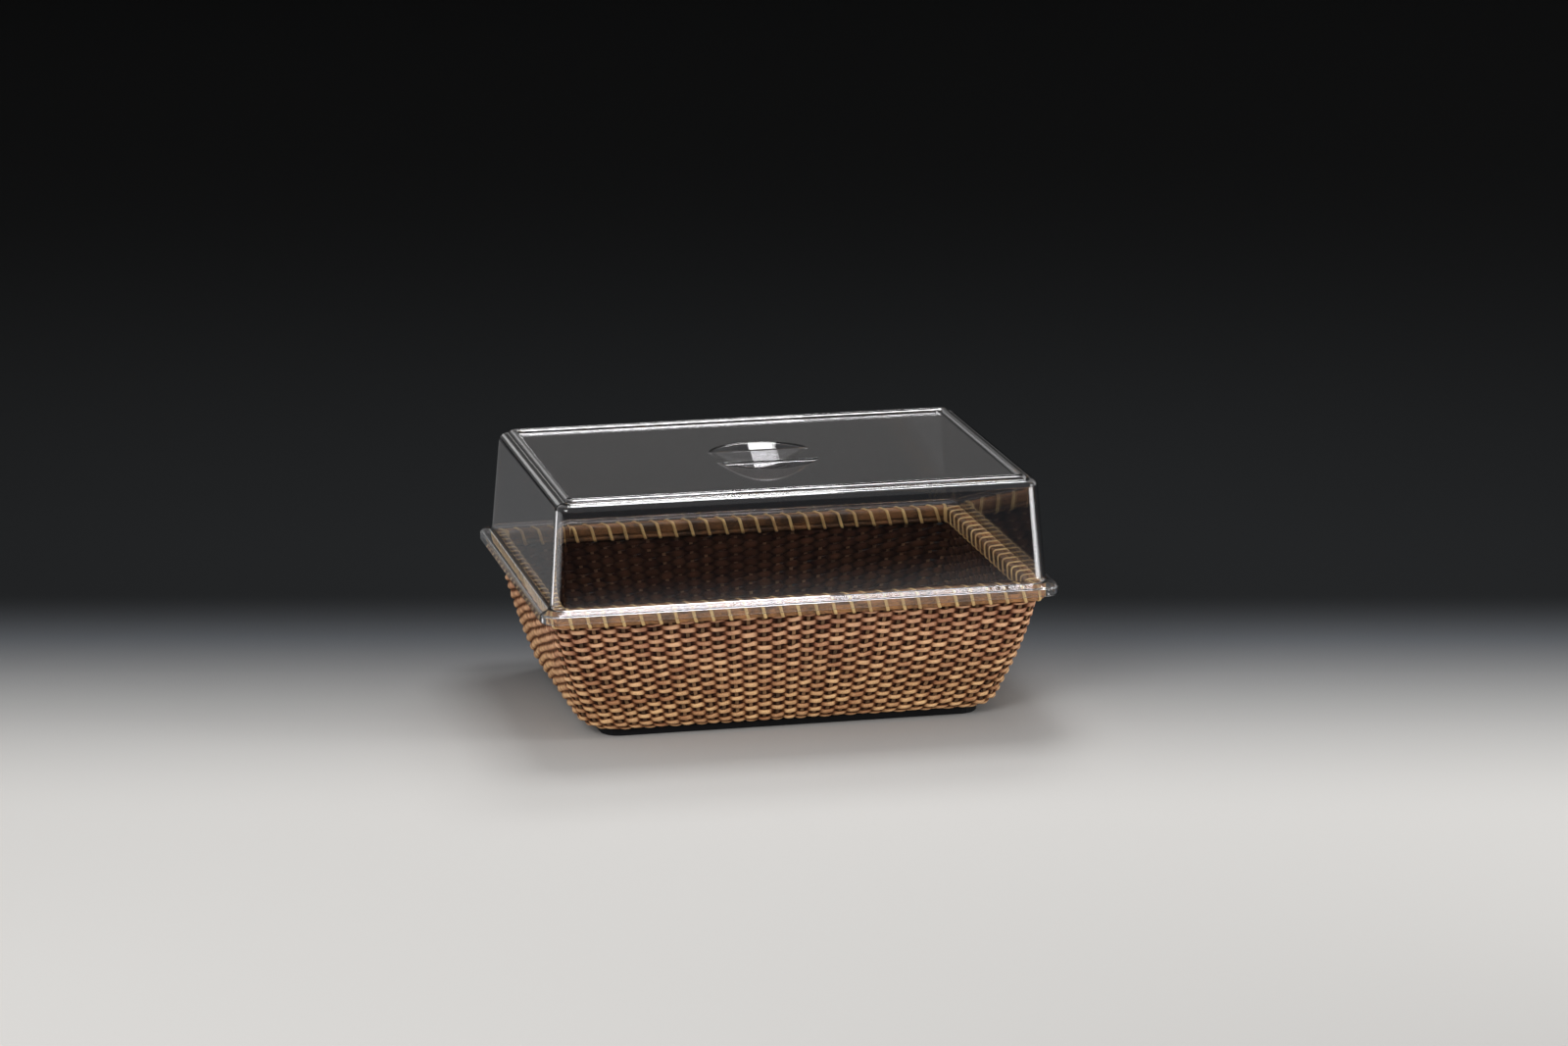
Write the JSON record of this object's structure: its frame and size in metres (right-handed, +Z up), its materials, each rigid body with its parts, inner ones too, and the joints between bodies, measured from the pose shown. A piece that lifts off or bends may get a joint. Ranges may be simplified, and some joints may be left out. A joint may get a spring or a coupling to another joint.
{
  "type": "domed serving basket",
  "caption": "Rectangular rattan serving basket with a lashed rim, a black base board and a clear lift-off cover with a finger grip moulded into its top.",
  "frame": {"origin": "on the table, under the middle of the base board", "axes": "+Z up, X along the long side, Y along the short side with the front facing -Y"},
  "size_m": [0.46, 0.33, 0.2199],
  "materials": {
    "board": "painted satin black",
    "tack_steel": "plain",
    "weave_dark": "stained rattan",
    "weave": "natural rattan",
    "rim_strip": "varnished rattan",
    "rim_filler": "natural rattan",
    "lashing_cane": "glossy cane skin",
    "clear_plastic": "clear polished"
  },
  "bodies": {
    "basket": {"base_board": "board", "woven_floor": "weave_dark", "woven_wall": "weave", "base_tack_1": "tack_steel", "base_tack_2": "tack_steel", "base_tack_3": "tack_steel", "base_tack_4": "tack_steel", "base_tack_5": "tack_steel", "base_tack_6": "tack_steel", "base_tack_7": "tack_steel", "base_tack_8": "tack_steel", "base_tack_9": "tack_steel", "base_tack_10": "tack_steel", "rim_outer_front": "rim_strip", "rim_outer_right": "rim_strip", "rim_outer_back": "rim_strip", "rim_outer_left": "rim_strip", "rim_inner_front": "rim_strip", "rim_inner_right": "rim_strip", "rim_inner_back": "rim_strip", "rim_inner_left": "rim_strip", "rim_filler_front": "rim_filler", "rim_filler_right": "rim_filler", "rim_filler_back": "rim_filler", "rim_filler_left": "rim_filler", "rim_lashing_front": "lashing_cane", "rim_lashing_right": "lashing_cane", "rim_lashing_back": "lashing_cane", "rim_lashing_left": "lashing_cane"},
    "cover": {"cover_shell": "clear_plastic"}
  },
  "joints": [
    {"name": "cover_lift", "type": "slide", "parent": "basket", "child": "cover", "axis": [0, 0, 1], "range_m": [0, 0.12]}
  ]
}
